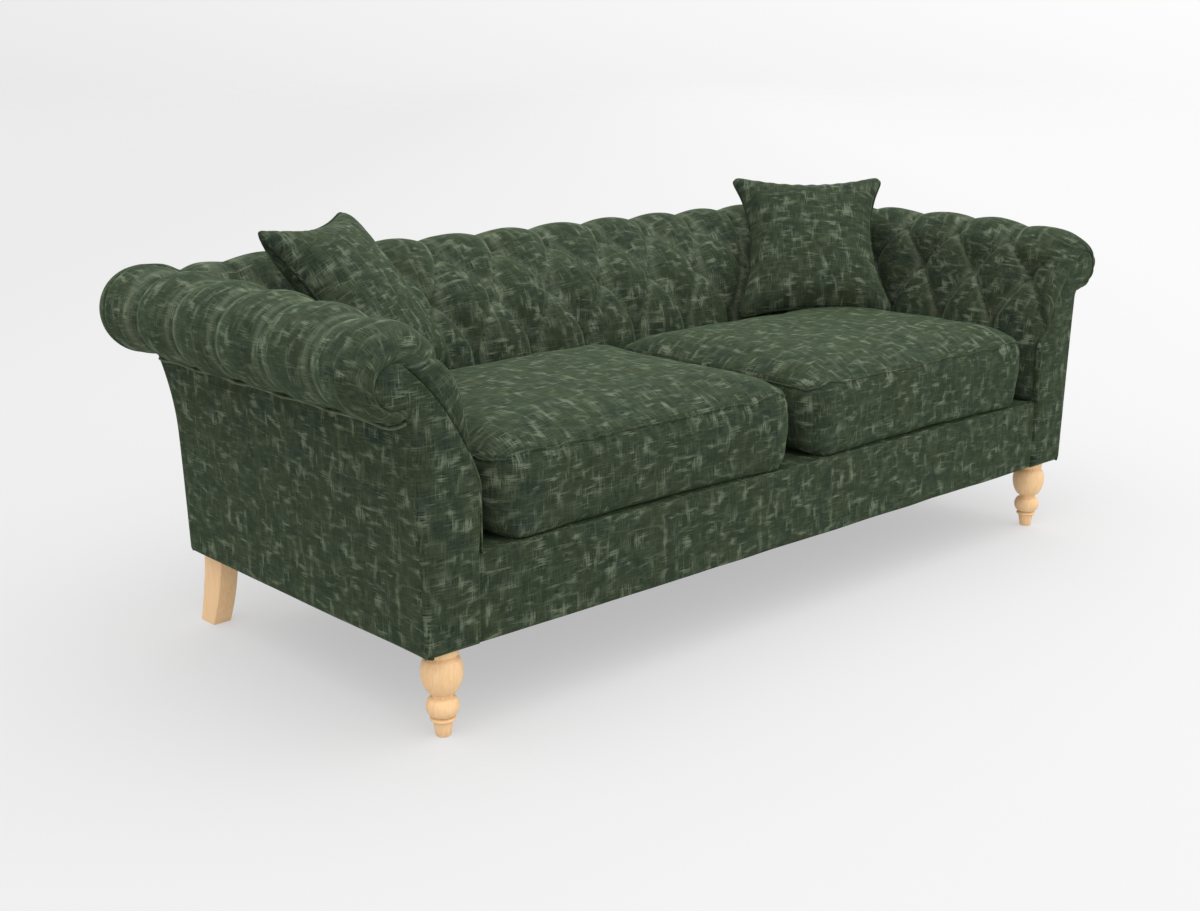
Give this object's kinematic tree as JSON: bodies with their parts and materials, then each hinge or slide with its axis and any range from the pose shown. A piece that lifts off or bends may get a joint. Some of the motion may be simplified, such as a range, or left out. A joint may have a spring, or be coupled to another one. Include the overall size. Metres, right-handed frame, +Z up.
{
  "type": "three-seater sofa",
  "caption": "Rolled-arm sofa with a deep-buttoned back and arms of one height, loose seat and scatter cushions, turned front legs and curved rear legs.",
  "frame": {"origin": "on the floor, under the middle of the sofa's overall box", "axes": "+X to the right as seen from the front, +Y to the rear, +Z up"},
  "size_m": [2.196, 0.9799, 0.8441],
  "materials": {
    "cover_cloth": "slubby dark green chenille",
    "scatter_cloth": "slubby dark green chenille, piped",
    "platform_cloth": "plain dark green cloth over padding",
    "lining_cloth": "black woven lining",
    "webbing": "woven jute",
    "cushion_filling": "foam and fibre",
    "leg_wood": "clear matt on pale hardwood",
    "frame_timber": "sawn timber",
    "bolt_steel": "zinc plated"
  },
  "bodies": {
    "sofa": {"arm_facing_left": "cover_cloth", "arm_facing_right": "cover_cloth", "arm_lining_left": "lining_cloth", "arm_lining_right": "lining_cloth", "arm_post_left": "frame_timber", "arm_post_right": "frame_timber", "arm_tack_rail_left": "frame_timber", "arm_tack_rail_right": "frame_timber", "arm_top_rail_left": "frame_timber", "arm_top_rail_right": "frame_timber", "back_lining": "lining_cloth", "back_posts": "frame_timber", "back_rail": "frame_timber", "back_tack_rail": "frame_timber", "back_top_rail": "frame_timber", "back_webbing": "webbing", "corner_blocks": "frame_timber", "cross_rails": "frame_timber", "dust_cover": "lining_cloth", "front_border": "cover_cloth", "front_legs": "leg_wood", "front_rail": "frame_timber", "inside_arm_left": "cover_cloth", "inside_arm_right": "cover_cloth", "inside_back": "cover_cloth", "leg_bolts": "bolt_steel", "outside_arm_left": "cover_cloth", "outside_arm_right": "cover_cloth", "outside_back": "cover_cloth", "rear_leg_left": "leg_wood", "rear_leg_right": "leg_wood", "scroll_board_left": "frame_timber", "scroll_board_right": "frame_timber", "seat_platform": "platform_cloth", "seat_webbing_crossways": "webbing", "seat_webbing_lengthways": "webbing", "side_rail_left": "frame_timber", "side_rail_right": "frame_timber"},
    "seat_cushion_right": {"seat_cushion_right_cover": "cover_cloth", "seat_cushion_right_core": "cushion_filling"},
    "seat_cushion_left": {"seat_cushion_left_cover": "cover_cloth", "seat_cushion_left_core": "cushion_filling"},
    "scatter_cushion_right": {"scatter_cushion_right_cover": "scatter_cloth", "scatter_cushion_right_core": "cushion_filling"},
    "scatter_cushion_left": {"scatter_cushion_left_cover": "scatter_cloth", "scatter_cushion_left_core": "cushion_filling"}
  },
  "joints": [
    {"name": "lift_seat_cushion_right", "type": "slide", "parent": "sofa", "child": "seat_cushion_right", "axis": [0, 0, 1], "range_m": [0, 0.45]},
    {"name": "lift_seat_cushion_left", "type": "slide", "parent": "sofa", "child": "seat_cushion_left", "axis": [0, 0, 1], "range_m": [0, 0.45]},
    {"name": "lift_scatter_cushion_right", "type": "slide", "parent": "seat_cushion_right", "child": "scatter_cushion_right", "axis": [0, 0, 1], "range_m": [0, 0.3]},
    {"name": "lift_scatter_cushion_left", "type": "slide", "parent": "seat_cushion_left", "child": "scatter_cushion_left", "axis": [0, 0, 1], "range_m": [0, 0.3]}
  ]
}
